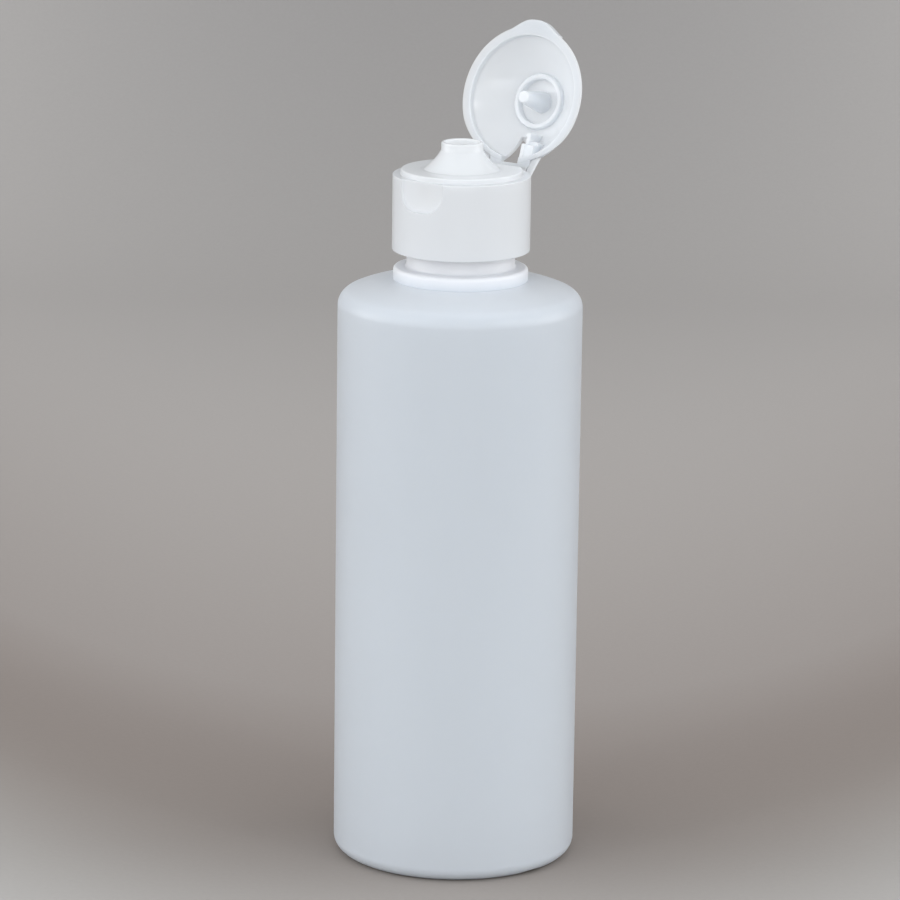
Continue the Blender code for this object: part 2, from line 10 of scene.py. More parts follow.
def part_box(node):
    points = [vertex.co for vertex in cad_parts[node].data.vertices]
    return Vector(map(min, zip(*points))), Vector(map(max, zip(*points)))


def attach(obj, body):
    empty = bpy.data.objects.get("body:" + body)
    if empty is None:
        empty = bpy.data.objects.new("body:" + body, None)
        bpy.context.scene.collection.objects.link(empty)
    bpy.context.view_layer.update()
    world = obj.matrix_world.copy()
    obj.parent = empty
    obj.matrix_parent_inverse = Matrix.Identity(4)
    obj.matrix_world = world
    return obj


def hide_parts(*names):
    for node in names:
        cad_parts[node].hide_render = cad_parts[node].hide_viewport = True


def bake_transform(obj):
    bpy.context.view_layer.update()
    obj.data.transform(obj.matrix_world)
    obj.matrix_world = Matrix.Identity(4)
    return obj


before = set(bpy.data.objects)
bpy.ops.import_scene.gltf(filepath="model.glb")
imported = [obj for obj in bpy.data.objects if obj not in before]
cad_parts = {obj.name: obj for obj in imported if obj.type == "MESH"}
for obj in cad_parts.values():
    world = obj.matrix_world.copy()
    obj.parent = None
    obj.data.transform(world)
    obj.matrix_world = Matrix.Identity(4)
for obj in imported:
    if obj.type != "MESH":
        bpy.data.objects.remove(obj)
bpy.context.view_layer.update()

MM = 0.001
QUARTER = math.pi / 2
ROUND = 192
ARC = 7
MERGE_DISTANCE = 0.001 * MM
SIDES = ((-1, "left"), (1, "right"))

# How far a cutting tool reaches past the surface that it cuts
PAST = 1 * MM

# The camera, fitted to the photograph
PHOTO_PIXELS = 900
FOCAL_PIXELS = 4699.53
SENSOR_MM = 36.0
CAMERA_DISTANCE = 0.91988
CAMERA_HEIGHT = 0.30443
CAMERA_YAW = -0.0018
CAMERA_PITCH = 0.2358
CAMERA_ROLL = 0.013
CAMERA_NEAR = 0.01
OBJECT_TURN = math.radians(36.2)

# Bottle
BODY_RADIUS = 24.5 * MM
BODY_WALL = 1.0 * MM
BASE_WALL = 1.4 * MM
STRAIGHT_HEIGHT = 113.1 * MM
CHIME_RADIUS = 2.85 * MM
RING_WIDTH = 1.45 * MM
PUSH_UP_HEIGHT = 3.0 * MM
PUSH_UP_FULLNESS = 0.7
PUSH_UP_POINTS = 15
SHOULDER_EDGE = 3.6 * MM
SHOULDER_CROWN = 29.0 * MM
SHOULDER_SLOPE = math.radians(23.0)
COLLAR_RADIUS = 13.47 * MM
COLLAR_HEIGHT = 2.6 * MM
COLLAR_EDGE = 0.7 * MM
NECK_RADIUS = 10.85 * MM
NECK_BORE = 8.9 * MM
NECK_HEIGHT = 16.9 * MM
NECK_LIP = 0.45 * MM
NECK_ROOT = 2.6 * MM
NECK_FILLET = 0.5 * MM
NOTCH_WIDTH = 8.0 * MM
NOTCH_DEPTH = 0.7 * MM
NOTCH_LENGTH = 2.1 * BODY_RADIUS
NOTCH_STEPS = 256
SEAM_TURN = math.radians(-10.8)

# Cap
SKIRT_BORE = 12.15 * MM
SKIRT_RADIUS = 13.77 * MM
SKIRT_HEIGHT = 14.95 * MM
SKIRT_EDGE = 0.14 * MM
LINER_GAP = 0.2 * MM
DECK_THICKNESS = 1.73 * MM
DECK_GAP = 0.3 * MM
DECK_EDGE = 0.25 * MM
PLATEAU_RADIUS = 12.17 * MM
PLATEAU_EDGE = 0.35 * MM
LEDGE_DROP = 1.27 * MM
LEDGE_LIFT = 0.2 * MM
SPOUT_RADIUS = 4.16 * MM
SPOUT_BORE = 3.45 * MM
SPOUT_HEIGHT = 5.47 * MM
FLARE_HEIGHT = 3.9 * MM
FLARE_WIDTH = 3.4 * MM
FLARE_SHARE = 0.52
FLARE_POINTS = 17
ORIFICE_RADIUS = 1.55 * MM
ORIFICE_LENGTH = 1.9 * MM
FUNNEL_HEIGHT = 1.3 * MM
RECESS_HALF = 5.2 * MM
RECESS_SHIFT = 0.4 * MM
RECESS_SCOOP = 0.3 * MM
RECESS_WALL = 0.2 * MM
RECESS_HEIGHT = 5.85 * MM
RECESS_CORNER = 4.0 * MM
RECESS_EDGE = 0.7 * MM

# Threads, 8 turns an inch
PITCH = 3.175 * MM
THREAD_TURNS = 1.5
THREAD_START = 2.6 * MM
THREAD_BURIED = 0.1 * MM
THREAD_STEPS = 180

# Each end of a ridge fades out over one part in 14 of its run, to this share of its width
THREAD_FADE = 14
THREAD_END_WIDTH = 0.35

# Corners of a ridge's section: share of its depth, and half width as a share of its base or crest
RIDGE_FLANK = (0.35, 0.42)
RIDGE_SHOULDER = (0.85, 0.62)
RIDGE_CREST = (1.0, 0.3)

# Lid
RIM_RADIUS = 14.36 * MM
RIM_BACK = 13.57 * MM
RIM_BACK_ANGLE = math.radians(21)
RIM_ROUND_ANGLE = math.radians(71)
RIM_GAP = 0.3 * MM
RIM_EDGE = 0.12 * MM
RIM_EDGE_ZONE = 1.1 * RIM_EDGE
RIM_HEIGHT = 0.25 * MM
RIM_SHOULDER = 0.36 * MM
RIM_TOP = 0.4 * MM
LIP_RADIUS = 12.5 * MM
LIP_DEPTH = 1.2 * MM
LIP_GAP = 0.02 * MM
LID_HEIGHT = 9.0 * MM
DOME_INSET = 0.32 * MM
DOME_STOP = 0.25 * MM
DRAWN_FROM = RIM_BACK - 0.3 * MM
CEILING_HEIGHT = 7.9 * MM
RING_INNER = 4.6 * MM
RING_OUTER = 5.6 * MM
RING_TIP = 5.76 * MM
RING_DRAFT_OUTSIDE = 0.2 * MM
RING_DRAFT_INSIDE = 0.1 * MM
PIN_ROOT = 2.0 * MM
PIN_TIP = 1.25 * MM
PIN_REACH = 0.65 * MM
PIN_DRAFT = 0.2 * MM
TIP_EDGE = 0.3 * MM
DIMPLE_RADIUS = 0.5 * MM
DIMPLE_EDGE = 0.02 * MM
DIMPLE_DEPTH = 0.12 * MM
TAB_REACH = 1.3 * MM
TAB_HALF_WIDTH = 6.2 * MM
TAB_THICKNESS = 1.8 * MM
TAB_FLAT = 0.12
TAB_LIFT = 0.02 * MM
TAB_EDGE = 0.5 * MM
TAB_POINTS = 61

# Hinge and snap straps
OPEN_ANGLE = math.radians(106.93)
HINGE_BEHIND = 14.8 * MM
HINGE_DROP = 0.813 * MM
HINGE_HALF = 4.95 * MM
WINDOW_HALF = 2.05 * MM
WINDOW_FRONT = 7.7 * MM
WINDOW_DEPTH = 6.3 * MM
BLOCK_FRONT = 9.45 * MM
BLOCK_END = 8.7 * MM
RIB_STEP = 1.6 * MM
RIB_THICKNESS = 0.8 * MM
RIB_FRONT = 7.0 * MM
RIB_OVERLAP = 0.3 * MM
RIM_ROOT = LIP_RADIUS + 0.4 * MM
SHELL_BITE = 0.5 * MM
STEP_DRAFT = 0.05 * MM
WEB_THICKNESS = 0.3 * MM
WEB_HALF_THICKNESS = 0.17 * MM
WEB_HALF_WIDTH = 0.55 * MM
TOOTH_CLEARANCE = 0.15 * MM
TOOTH_GAP = 0.2 * MM
TOOTH_LIFT = 0.04 * MM
TOOTH_EDGE = 0.1 * MM
LUG_SHORT = 0.05 * MM
LUG_ROOT = 1.5 * MM
LUG_DEPTH = 1.0 * MM
LUG_EDGE = 0.12 * MM
STRAP_START = 5.25 * MM
STRAP_WIDTH = 1.9 * MM
STRAP_THICKNESS = 0.7 * MM
STRAP_WAIST = 0.8
STRAP_WIDE_FLARE = 0.25
STRAP_THICK_FLARE = 0.35
STRAP_OFFSET = 0.12 * MM
STRAP_SINK = 0.2 * MM
STRAP_FOOT = 2.8 * MM
STRAP_RISE = 0.6 * MM
STRAP_ROWS = 21
STRAP_CORNERS = 24

# Places in the stack, from the bottom up
SLOPE_NORMAL = QUARTER - SHOULDER_SLOPE
EDGE_CENTRE = BODY_RADIUS - SHOULDER_EDGE
CROWN_R = EDGE_CENTRE + (SHOULDER_EDGE - SHOULDER_CROWN) * math.cos(SLOPE_NORMAL)
CROWN_Z = STRAIGHT_HEIGHT + (SHOULDER_EDGE - SHOULDER_CROWN) * math.sin(SLOPE_NORMAL)
COLLAR_ANGLE = math.acos((COLLAR_RADIUS - CROWN_R) / SHOULDER_CROWN)
COLLAR_TOP = CROWN_Z + SHOULDER_CROWN * math.sin(COLLAR_ANGLE) + COLLAR_HEIGHT
NECK_TOP = COLLAR_TOP + NECK_HEIGHT
LINER_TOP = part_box("liner")[1][2]
DECK = LINER_TOP + LINER_GAP
PLATEAU = DECK + DECK_THICKNESS
LEDGE = PLATEAU - LEDGE_DROP
LEDGE_SEAT = LEDGE + LEDGE_LIFT
SKIRT_LOW = LEDGE - SKIRT_HEIGHT
SPOUT_TOP = PLATEAU + SPOUT_HEIGHT
HINGE_Z = LEDGE + RIM_GAP - HINGE_DROP
HINGE = Vector((0, HINGE_BEHIND, HINGE_Z))
LID_PLACE = (
    Matrix.Translation(HINGE)
    @ Matrix.Rotation(-OPEN_ANGLE, 4, "X")
    @ Matrix.Translation((0, -HINGE_BEHIND, HINGE_DROP))
)
FROM_SIDE = Matrix.Rotation(QUARTER, 4, "Z") @ Matrix.Rotation(QUARTER, 4, "X")


# Outlines

def arc(centre_r, centre_z, radius, start, end, steps=ARC):
    """Points of a round edge from one angle to another."""
    turn = np.linspace(start, end, steps + 1)
    return [(centre_r + radius * math.cos(a), centre_z + radius * math.sin(a)) for a in turn]


def dome(base, height, first, last, steps):
    """Points (radius, height) of a spherical cap between two radii."""
    sphere = (base ** 2 + height ** 2) / (2 * height)
    turn = np.linspace(math.asin(first / sphere), math.asin(last / sphere), steps + 1)
    return [(sphere * math.sin(a), height - sphere + sphere * math.cos(a)) for a in turn]


def straight_wall(radius, first, last, count):
    """Points along an upright wall, without its two ends."""
    return [(radius, height) for height in np.linspace(first, last, count)[1:-1]]


# Shapes

def as_object(shape, name):
    """Turns a bmesh into a linked object."""
    mesh = bpy.data.meshes.new(name)
    shape.to_mesh(mesh)
    shape.free()
    item = bpy.data.objects.new(name, mesh)
    bpy.context.scene.collection.objects.link(item)
    return item


def turned(name, points, closed=False):
    """Turns a section round Z into one closed surface."""
    shape = bmesh.new()
    ring = [shape.verts.new((radius, 0, height)) for radius, height in points]
    edges = [shape.edges.new(pair) for pair in zip(ring, ring[1:])]
    if closed:
        edges.append(shape.edges.new((ring[-1], ring[0])))
    bmesh.ops.spin(
        shape, geom=ring + edges, cent=(0, 0, 0), axis=(0, 0, 1),
        angle=2 * math.pi, steps=ROUND, use_merge=True,
    )
    bmesh.ops.remove_doubles(shape, verts=shape.verts, dist=MERGE_DISTANCE)
    bmesh.ops.recalc_face_normals(shape, faces=shape.faces)
    return as_object(shape, name)


def block(name, low, high, cuts=0):
    """A box between two corners."""
    low, high = Vector(low), Vector(high)
    shape = bmesh.new()
    bmesh.ops.create_cube(shape, size=1)
    bmesh.ops.scale(shape, vec=high - low, verts=shape.verts)
    bmesh.ops.translate(shape, vec=(low + high) / 2, verts=shape.verts)
    if cuts:
        bmesh.ops.subdivide_edges(shape, edges=shape.edges, cuts=cuts, use_grid_fill=True)
    return as_object(shape, name)


def plate(name, outline, low, high):
    """A flat outline in X and Y between two heights."""
    shape = bmesh.new()
    face = shape.faces.new([shape.verts.new((x, y, low)) for x, y in outline])
    raised = bmesh.ops.extrude_face_region(shape, geom=[face])["geom"]
    moved = [v for v in raised if isinstance(v, bmesh.types.BMVert)]
    bmesh.ops.translate(shape, vec=(0, 0, high - low), verts=moved)
    bmesh.ops.recalc_face_normals(shape, faces=shape.faces)
    return as_object(shape, name)


def upright_plate(name, outline, left, right):
    """A plate whose outline (distance behind the axis, height) is seen from the side."""
    item = plate(name, outline, left, right)
    item.data.transform(FROM_SIDE)
    return item


def join_rows(shape, rows, rings):
    """Faces between rows of points; where the rows are rings, both ends are closed too."""
    count = len(rows[0])
    for first, second in zip(rows, rows[1:]):
        for index in range(count if rings else count - 1):
            after = (index + 1) % count
            shape.faces.new((first[index], first[after], second[after], second[index]))
    if rings:
        shape.faces.new(rows[0])
        shape.faces.new(rows[-1])
    bmesh.ops.recalc_face_normals(shape, faces=shape.faces)


def settle(item):
    """Makes an object's modifiers part of its mesh."""
    graph = bpy.context.evaluated_depsgraph_get()
    mesh = bpy.data.meshes.new_from_object(item.evaluated_get(graph))
    item.modifiers.clear()
    item.data = mesh
    return item


def rounded(item, width, segments=3, angle=35):
    """Rounds the sharp edges and settles the mesh."""
    edge = item.modifiers.new("edge", "BEVEL")
    edge.width = width
    edge.segments = segments
    edge.limit_method = "ANGLE"
    edge.angle_limit = math.radians(angle)
    return settle(item)


def combined(item, tool, operation):
    """Joins a tool to a piece, cuts it out or keeps what both share, and removes the tool."""
    change = item.modifiers.new("change", "BOOLEAN")
    change.operation = operation
    change.solver = "EXACT"
    change.object = tool
    bpy.context.view_layer.update()
    settle(item)
    bpy.data.objects.remove(tool, do_unlink=True)
    return item


def smooth(item, angle=32):
    """Smooth shading, sharp only over an angle."""
    item.data.shade_smooth()
    item.data.set_sharp_from_angle(angle=math.radians(angle))
    return item


# Nodes of the materials

# The colour sockets of a Mix node, by number because its other sockets have the same names
MIX_COLOURS = (6, 7)
MIX_RESULT = 2


def feed(tree, item, inputs):
    """Gives a node its inputs, each a value or another node's output."""
    for socket, value in inputs.items():
        if isinstance(value, bpy.types.NodeSocket):
            tree.links.new(value, item.inputs[socket])
        else:
            item.inputs[socket].default_value = value


def add_node(tree, kind, inputs, **settings):
    """A shader node with its settings and inputs."""
    item = tree.nodes.new(f"ShaderNode{kind}")
    for name, setting in settings.items():
        setattr(item, name, setting)
    feed(tree, item, inputs)
    return item


def new_material(name, **settings):
    """A material with these shader settings, its node tree and the place of each of its points."""
    material = bpy.data.materials.new(name)
    material.use_nodes = True
    tree = material.node_tree
    feed(tree, tree.nodes["Principled BSDF"], {key.replace("_", " "): settings[key] for key in settings})
    place = add_node(tree, "TexCoord", {}).outputs["Object"]
    return material, tree, place


def noise(tree, place, scale, detail):
    """Soft noise from 0 to 1."""
    texture = add_node(tree, "TexNoise", {"Vector": place, "Scale": scale, "Detail": detail})
    return texture.outputs["Fac"]


def arithmetic(tree, operation, *values):
    """The result of a sum on values or other nodes' outputs."""
    return add_node(tree, "Math", dict(enumerate(values)), operation=operation).outputs["Value"]


def spread(tree, value, low, high, **settings):
    """Where a value lies between two others, as a share from 0 to 1."""
    share = add_node(tree, "MapRange", {"Value": value, "From Min": low, "From Max": high}, **settings)
    return share.outputs["Result"]


def ramp(tree, value, stops, interpolation="LINEAR"):
    """The colour for a value from 0 to 1, from stops of (share, colour)."""
    item = add_node(tree, "ValToRGB", {"Fac": value})
    item.color_ramp.interpolation = interpolation
    elements = item.color_ramp.elements
    while len(elements) < len(stops):
        elements.new(0.5)
    for element, (share, colour) in zip(elements, stops):
        element.position = share
        element.color = (*colour, 1)
    return item.outputs["Color"]


def toned(tree, distance, stops, interpolation="LINEAR"):
    """The colour at a distance, from stops of (distance, colour)."""
    first = stops[0][0]
    last = stops[-1][0]
    shares = [((stop - first) / (last - first), colour) for stop, colour in stops]
    return ramp(tree, spread(tree, distance, first, last), shares, interpolation)


def multiplied(tree, first, second):
    """One colour times another."""
    inputs = {"Factor": 1, MIX_COLOURS[0]: first, MIX_COLOURS[1]: second}
    return add_node(tree, "Mix", inputs, data_type="RGBA", blend_type="MULTIPLY").outputs[MIX_RESULT]


# Plastics

PLASTIC_IOR = 1.5
SCATTER_RADIUS = (1.0, 1.02, 1.06)
FLOW_STRETCH = (1.0, 1.0, 0.35)
FLOW_SCALE = 2.5
CLOUD_SHARES = (0.3, 0.7)
CLOUD_DETAIL = 3.0
GLOSS_SPREAD = 0.05
EDGE_SOFTNESS = 0.15 * MM
EDGE_SAMPLES = 4
GRAIN_DEPTH = 0.01 * MM
GRAIN_STRENGTH = 0.2
GRAIN_DETAIL = 2.0
FLOW_DEPTH = 0.02 * MM
FLOW_STRENGTH = 0.3
FLOW_DETAIL = 1.0


def zone_tone(tree, place, zones):
    """The tone at each distance from a piece's own centre, counted along the chosen axes; for the bottle,
    cap and lid the stops hold painted light and shade.
    """
    seat, axes, stops = zones
    back = seat.inverted()
    turn = {"Vector": place, "Location": back.to_translation(), "Rotation": back.to_euler()}
    local = add_node(tree, "Mapping", turn).outputs["Vector"]
    chosen = add_node(tree, "VectorMath", {0: local, 1: axes}, operation="MULTIPLY").outputs["Vector"]
    length = add_node(tree, "VectorMath", {0: chosen}, operation="LENGTH").outputs["Value"]
    return toned(tree, length, stops)


def moulded_skin(tree, place, stretched, cloud, grain):
    """The normal of a moulded surface: softened edges, fine grain and broad waves."""
    soft = add_node(tree, "Bevel", {"Radius": EDGE_SOFTNESS}, samples=EDGE_SAMPLES)
    fine = add_node(tree, "Bump", {
        "Strength": GRAIN_STRENGTH,
        "Distance": GRAIN_DEPTH,
        "Height": noise(tree, place, grain, GRAIN_DETAIL),
        "Normal": soft.outputs["Normal"],
    })
    broad = add_node(tree, "Bump", {
        "Strength": FLOW_STRENGTH,
        "Distance": FLOW_DEPTH,
        "Height": noise(tree, stretched, cloud * FLOW_SCALE, FLOW_DETAIL),
        "Normal": fine.outputs["Normal"],
    })
    return broad.outputs["Normal"]


def plastic(name, zones, roughness, mottling, cloud, grain, scatter, depth):
    """A moulded plastic with clouded colour, uneven gloss and a fine skin texture.

    Its zones are the piece's own place, the axes that count and the tone at each distance; for the bottle,
    cap and lid these tones hold painted light and shade.
    """
    material, tree, place = new_material(
        name,
        IOR=PLASTIC_IOR,
        Subsurface_Weight=scatter,
        Subsurface_Radius=SCATTER_RADIUS,
        Subsurface_Scale=depth,
    )
    stretched = add_node(tree, "Mapping", {"Vector": place, "Scale": FLOW_STRETCH}).outputs["Vector"]
    clouds = noise(tree, stretched, cloud, CLOUD_DETAIL)
    shades = ([1 - 2 * mottling] * 3, [1] * 3)
    tint = ramp(tree, clouds, list(zip(CLOUD_SHARES, shades)))
    gloss = {"Value": clouds, "To Min": roughness - GLOSS_SPREAD, "To Max": roughness + GLOSS_SPREAD}
    # The base colour is the zoned tone, painted light and shade included, times the clouded tint.
    feed(tree, tree.nodes["Principled BSDF"], {
        "Base Color": multiplied(tree, zone_tone(tree, place, zones), tint),
        "Roughness": add_node(tree, "MapRange", gloss).outputs["Result"],
        "Normal": moulded_skin(tree, place, stretched, cloud, grain),
    })
    return material


# The bottle's own colour on its body, then painted light: the shoulder, collar and neck are painted paler,
# standing in for light through the plastic and lifting the shade under the cap.
BOTTLE_TONE_AND_PAINTED_LIGHT = (Matrix(), (0, 0, 1), [
    (STRAIGHT_HEIGHT + 2 * MM, (0.615, 0.665, 0.725)),
    (COLLAR_TOP - COLLAR_HEIGHT, (0.70, 0.745, 0.80)),
    (COLLAR_TOP, (0.80, 0.815, 0.845)),
])
# The cap's own colour on the spout and skirt, with painted light: the spout's bore is painted near white,
# and the deck is painted paler as light falling on the top.
CAP_TONE_AND_PAINTED_LIGHT = (Matrix(), (1, 1, 0), [
    (SPOUT_BORE - 0.1 * MM, (0.95, 0.96, 0.97)),
    (SPOUT_BORE + 0.2 * MM, (0.72, 0.74, 0.755)),
    (8 * MM, (0.72, 0.74, 0.755)),
    (8.5 * MM, (0.76, 0.78, 0.795)),
    (PLATEAU_RADIUS - 0.2 * MM, (0.76, 0.78, 0.795)),
    (PLATEAU_RADIUS + 0.1 * MM, (0.71, 0.73, 0.75)),
])
# The lid's colour with painted light and shade: the inside of the dome is painted paler, as light shining
# through it, and the rim is painted darker as painted shade.
LID_TONE_AND_PAINTED_LIGHT = (LID_PLACE, (1, 1, 0), [
    (PIN_TIP, (0.74, 0.765, 0.79)),
    (LIP_RADIUS - 0.3 * MM, (0.75, 0.78, 0.81)),
    (LIP_RADIUS + 0.3 * MM, (0.605, 0.63, 0.655)),
])
LINER_TONES = (Matrix(), (1, 1, 0), [(0, (0.80, 0.80, 0.78)), (NECK_RADIUS, (0.80, 0.80, 0.78))])
BOTTLE_PLASTIC = plastic(
    "bottle_plastic_look", BOTTLE_TONE_AND_PAINTED_LIGHT, roughness=0.33, mottling=0.012,
    cloud=45, grain=1800, scatter=0.6, depth=3 * MM,
)
CAP_PLASTIC = plastic(
    "cap_plastic_look", CAP_TONE_AND_PAINTED_LIGHT, roughness=0.22, mottling=0.008,
    cloud=90, grain=2600, scatter=0.3, depth=1.2 * MM,
)
LID_PLASTIC = plastic(
    "lid_plastic_look", LID_TONE_AND_PAINTED_LIGHT, roughness=0.22, mottling=0.008,
    cloud=90, grain=2600, scatter=0.8, depth=3 * MM,
)
LINER_FOAM = plastic(
    "liner_foam_look", LINER_TONES, roughness=0.75, mottling=0.03,
    cloud=400, grain=5200, scatter=0.2, depth=0.5 * MM,
)


def dressed(item, material, body=None, node=None):
    """Gives a piece its material and its body, and hides the CAD node it stands for."""
    item.data.materials.clear()
    item.data.materials.append(material)
    if body:
        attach(item, body)
    if node:
        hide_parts(node)
    return item


# Threads

def ridge_section(base, crest, depth):
    """Points (reach, height) round a thread ridge, from its root in the wall to its crest and back."""
    upper = [
        (-THREAD_BURIED, base / 2),
        (RIDGE_FLANK[0] * depth, RIDGE_FLANK[1] * base),
        (RIDGE_SHOULDER[0] * depth, RIDGE_SHOULDER[1] * crest),
        (RIDGE_CREST[0] * depth, RIDGE_CREST[1] * crest),
    ]
    return upper + [(reach, -height) for reach, height in reversed(upper)]


def helix(name, radius, outward, start, base, crest, depth):
    """A moulded thread ridge on a wall of this radius, fading out at both ends."""
    sign = 1 if outward else -1
    section = ridge_section(base, crest, depth)
    shape = bmesh.new()
    rows = []
    for step in range(THREAD_STEPS + 1):
        share = step / THREAD_STEPS
        fade = math.sin(QUARTER * min(1, min(share, 1 - share) * THREAD_FADE))
        width = THREAD_END_WIDTH + (1 - THREAD_END_WIDTH) * fade
        turn = -2 * math.pi * THREAD_TURNS * share
        middle = start - PITCH * THREAD_TURNS * share
        row = []
        for reach, across in section:
            out = radius + sign * (reach * fade if reach > 0 else reach)
            height = middle + across * width
            row.append(shape.verts.new((out * math.cos(turn), out * math.sin(turn), height)))
        rows.append(row)
    join_rows(shape, rows, rings=True)
    return smooth(as_object(shape, name))


# Bottle

def inner_wall():
    """Inside of the blown shell, from the edge of its floor up to the neck's bore."""
    chime = CHIME_RADIUS - BODY_WALL
    crown = SHOULDER_CROWN - BODY_WALL
    root = NECK_BORE + NECK_ROOT
    root_angle = math.acos((root - CROWN_R) / crown)
    root_z = CROWN_Z + crown * math.sin(root_angle) + NECK_ROOT
    points = arc(BODY_RADIUS - BODY_WALL - chime, BASE_WALL + chime, chime, -QUARTER, 0)
    points += arc(EDGE_CENTRE, STRAIGHT_HEIGHT, SHOULDER_EDGE - BODY_WALL, 0, SLOPE_NORMAL, steps=10)
    points += arc(CROWN_R, CROWN_Z, crown, SLOPE_NORMAL, root_angle, steps=10)[1:]
    points += arc(root, root_z, NECK_ROOT, -QUARTER, -2 * QUARTER)[1:]
    return points


def outer_wall():
    """Outside of the blown shell, from the foot of the neck down to the standing ring."""
    points = arc(
        NECK_RADIUS + NECK_FILLET, COLLAR_TOP + NECK_FILLET, NECK_FILLET, 2 * QUARTER, 3 * QUARTER, steps=4
    )
    points += arc(COLLAR_RADIUS - COLLAR_EDGE, COLLAR_TOP - COLLAR_EDGE, COLLAR_EDGE, QUARTER, 0)
    points += arc(CROWN_R, CROWN_Z, SHOULDER_CROWN, COLLAR_ANGLE, SLOPE_NORMAL, steps=12)
    points += arc(EDGE_CENTRE, STRAIGHT_HEIGHT, SHOULDER_EDGE, SLOPE_NORMAL, 0, steps=14)[1:]
    points += straight_wall(BODY_RADIUS, STRAIGHT_HEIGHT, CHIME_RADIUS, count=22)
    points += arc(BODY_RADIUS - CHIME_RADIUS, CHIME_RADIUS, CHIME_RADIUS, 0, -QUARTER, steps=12)
    return points


def bottle_section():
    """Section of the blown shell: up the inside, over the lip and down the outside."""
    ring_inner = BODY_RADIUS - CHIME_RADIUS - RING_WIDTH
    places = [ring_inner * math.sin(a) for a in np.linspace(0, QUARTER, PUSH_UP_POINTS)]
    rise = [max(0, 1 - (r / ring_inner) ** 2) ** PUSH_UP_FULLNESS for r in places]
    floor = [(r, PUSH_UP_HEIGHT * share) for r, share in zip(places, rise)]
    points = [(r, z + BASE_WALL) for r, z in floor]
    points += inner_wall()
    points += arc(NECK_BORE + NECK_LIP, NECK_TOP - NECK_LIP, NECK_LIP, 2 * QUARTER, QUARTER, steps=5)
    points += arc(NECK_RADIUS - NECK_LIP, NECK_TOP - NECK_LIP, NECK_LIP, QUARTER, 0, steps=5)
    points += outer_wall()
    points += list(reversed(floor))
    return points


def notch_tool():
    """A wide drum across the base, which leaves an arched notch at each end of the parting line."""
    radius = (NOTCH_WIDTH ** 2 / 4 + NOTCH_DEPTH ** 2) / (2 * NOTCH_DEPTH)
    shape = bmesh.new()
    bmesh.ops.create_cone(
        shape, cap_ends=True, segments=NOTCH_STEPS, radius1=radius, radius2=radius, depth=NOTCH_LENGTH
    )
    notch = as_object(shape, "notch")
    notch.matrix_world = (
        Matrix.Translation((0, 0, NOTCH_DEPTH - radius))
        @ Matrix.Rotation(SEAM_TURN, 4, "Z")
        @ Matrix.Rotation(QUARTER, 4, "Y")
    )
    return notch


def make_bottle():
    """The bottle with the notches of its parting line, and the ridge of its thread."""
    bottle = turned("bottle_shell", bottle_section())
    combined(bottle, notch_tool(), "DIFFERENCE")
    smooth(bottle)
    dressed(bottle, BOTTLE_PLASTIC, "bottle", "bottle")
    ridge = helix(
        "neck_thread", NECK_RADIUS, outward=True, start=NECK_TOP - THREAD_START,
        base=2.3 * MM, crest=1.0 * MM, depth=1.0 * MM,
    )
    dressed(ridge, BOTTLE_PLASTIC, "bottle")


# Cap

def cap_outside():
    """Outside of the cap base, from the foot of the spout's lip down to the skirt's lower edge."""
    points = []
    for share in np.linspace(0, 1, FLARE_POINTS):
        width = FLARE_SHARE * share + (1 - FLARE_SHARE) * share ** 2
        points.append((SPOUT_RADIUS + FLARE_WIDTH * width, PLATEAU + FLARE_HEIGHT * (1 - share)))
    points += arc(PLATEAU_RADIUS - PLATEAU_EDGE, PLATEAU - PLATEAU_EDGE, PLATEAU_EDGE, QUARTER, 0)
    points += arc(
        PLATEAU_RADIUS + DECK_EDGE, LEDGE_SEAT + DECK_EDGE, DECK_EDGE, 2 * QUARTER, 3 * QUARTER, steps=4
    )
    points += arc(SKIRT_RADIUS - SKIRT_EDGE, LEDGE_SEAT - SKIRT_EDGE, SKIRT_EDGE, QUARTER, 0)
    points += straight_wall(SKIRT_RADIUS, LEDGE_SEAT - SKIRT_EDGE, SKIRT_LOW + SKIRT_EDGE, count=10)
    points += arc(SKIRT_RADIUS - SKIRT_EDGE, SKIRT_LOW + SKIRT_EDGE, SKIRT_EDGE, 0, -QUARTER)
    points += arc(SKIRT_BORE + SKIRT_EDGE, SKIRT_LOW + SKIRT_EDGE, SKIRT_EDGE, -QUARTER, -2 * QUARTER)
    return points


def cap_section():
    """Section of the cap base, from the spout's lip down the outside and back up inside."""
    middle = (SPOUT_RADIUS + SPOUT_BORE) / 2
    lip = SPOUT_RADIUS - middle
    points = arc(middle, SPOUT_TOP - lip, lip, QUARTER, 0)
    points += cap_outside()
    points += [
        (SKIRT_BORE, DECK - DECK_EDGE),
        (SKIRT_BORE - DECK_EDGE, DECK),
        (ORIFICE_RADIUS + DECK_EDGE, DECK),
        (ORIFICE_RADIUS, DECK + DECK_EDGE),
        (ORIFICE_RADIUS, DECK + ORIFICE_LENGTH),
        (SPOUT_BORE, DECK + ORIFICE_LENGTH + FUNNEL_HEIGHT),
    ]
    points += arc(middle, SPOUT_TOP - lip, lip, 2 * QUARTER, QUARTER)[:-1]
    return points


